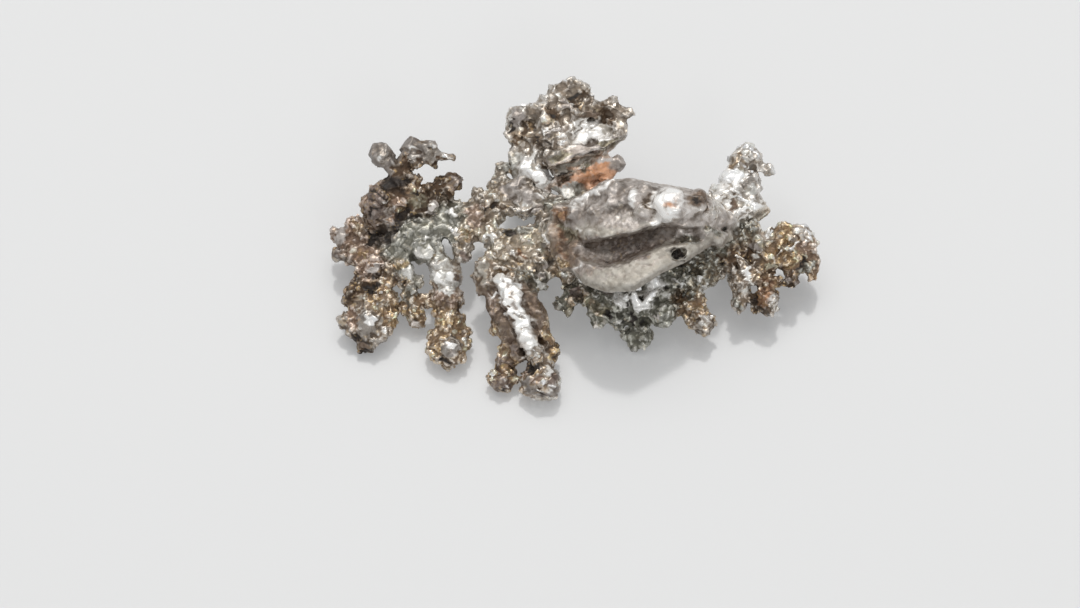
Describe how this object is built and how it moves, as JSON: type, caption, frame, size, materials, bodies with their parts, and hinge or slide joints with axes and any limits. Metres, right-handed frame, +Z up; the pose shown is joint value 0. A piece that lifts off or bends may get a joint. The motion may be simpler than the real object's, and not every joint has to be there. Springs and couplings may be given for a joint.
{
  "type": "native silver crystal",
  "caption": "Branching native silver specimen: lumpy twigs, fingers and a broad hollow plate grown from one junction, resting on its lobes.",
  "frame": {"origin": "centre of the bounding box on the surface that the lobes rest on", "axes": "+Z up, +X along the row of branches to the tip of the right end, -Y towards the tips of the fingers"},
  "size_m": [0.0494, 0.032, 0.015],
  "materials": {
    "bright_silver": "bright, lightly tarnished native silver with small flat facets",
    "grey_silver": "grey native silver, brown in its crevices",
    "green_grey_silver": "pale green-grey native silver",
    "gold_brown_silver": "grey to gold-brown tarnish that glitters",
    "dark_tarnish": "dark brown tarnish",
    "coppery_silver": "copper-brown to pinkish tarnish"
  },
  "bodies": {
    "root": {"centre_trunk": "grey_silver", "left_trunk": "green_grey_silver", "right_trunk": "dark_tarnish", "left_crest": "dark_tarnish", "left_tip": "coppery_silver", "left_foot": "gold_brown_silver", "small_finger": "gold_brown_silver", "left_finger": "gold_brown_silver", "long_finger": "gold_brown_silver", "crown": "bright_silver", "tongue": "coppery_silver", "blade": "grey_silver", "right_crest": "bright_silver", "right_end": "gold_brown_silver", "right_claws": "gold_brown_silver", "low_cluster": "green_grey_silver", "right_finger": "gold_brown_silver"}
  },
  "joints": []
}
